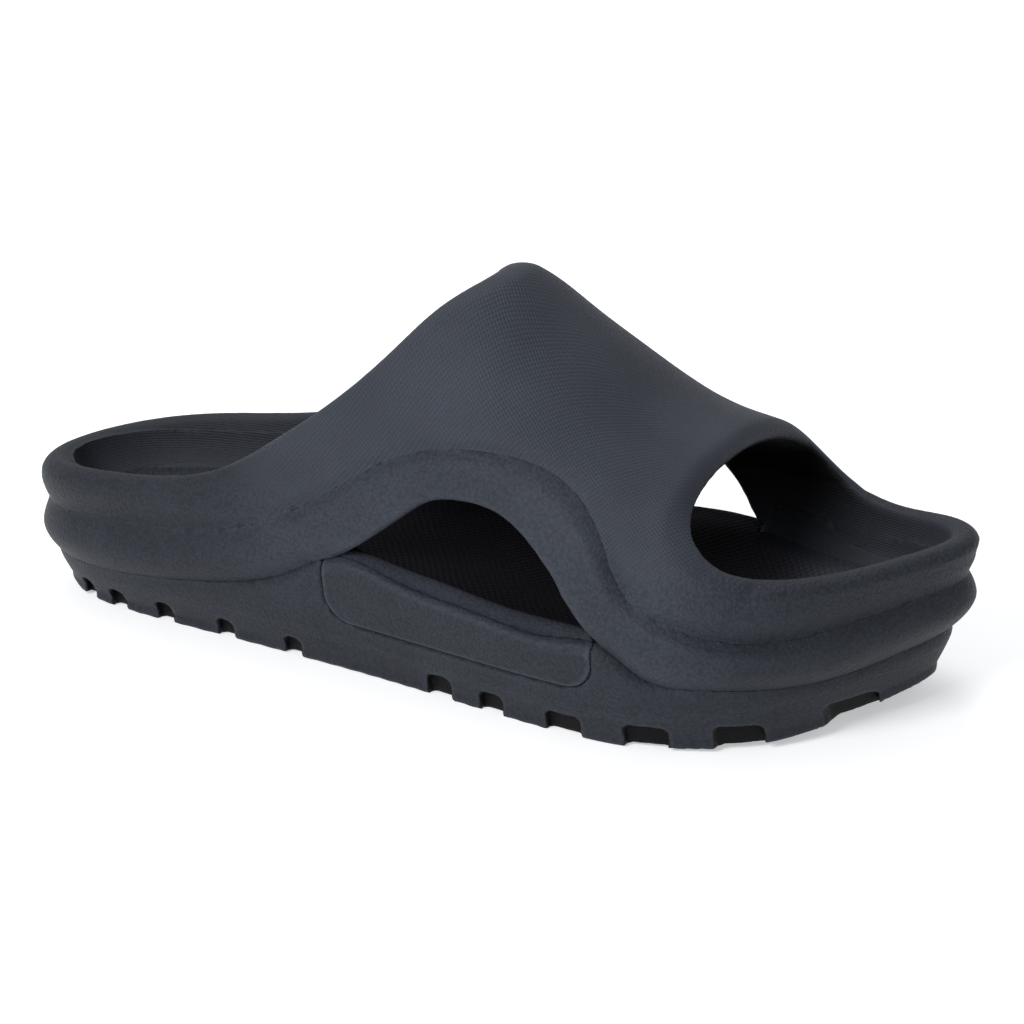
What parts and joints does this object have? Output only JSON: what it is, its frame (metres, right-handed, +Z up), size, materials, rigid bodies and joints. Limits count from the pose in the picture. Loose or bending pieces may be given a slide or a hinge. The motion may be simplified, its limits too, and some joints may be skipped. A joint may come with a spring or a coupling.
{
  "type": "slide sandal",
  "caption": "Moulded foam slide sandal for the right foot: a wide arched band over a cupped footbed, arched side openings and a notched tread.",
  "frame": {"origin": "on the ground under the middle of the shoe's box", "axes": "+X to the toe, +Y to the medial (big toe) side, +Z up"},
  "size_m": [0.2902, 0.1136, 0.1166],
  "materials": {
    "upper_foam": "matt moulded foam with a fine diagonal twill texture, leather grain at the heel and toe",
    "wall_foam": "matt moulded foam with a fine leather grain",
    "midsole_foam": "matt moulded foam with a fine leather grain",
    "footbed_foam": "matt moulded foam with small raised lozenges",
    "panel_foam": "matt moulded foam with a fine leather grain",
    "outsole_rubber": "matt moulded rubber foam with a fine grain"
  },
  "bodies": {
    "root": {"upper": "upper_foam", "middle_wall": "wall_foam", "midsole": "midsole_foam", "footbed": "footbed_foam", "lateral_side_panel": "panel_foam", "medial_side_panel": "panel_foam", "outsole": "outsole_rubber"}
  },
  "joints": []
}
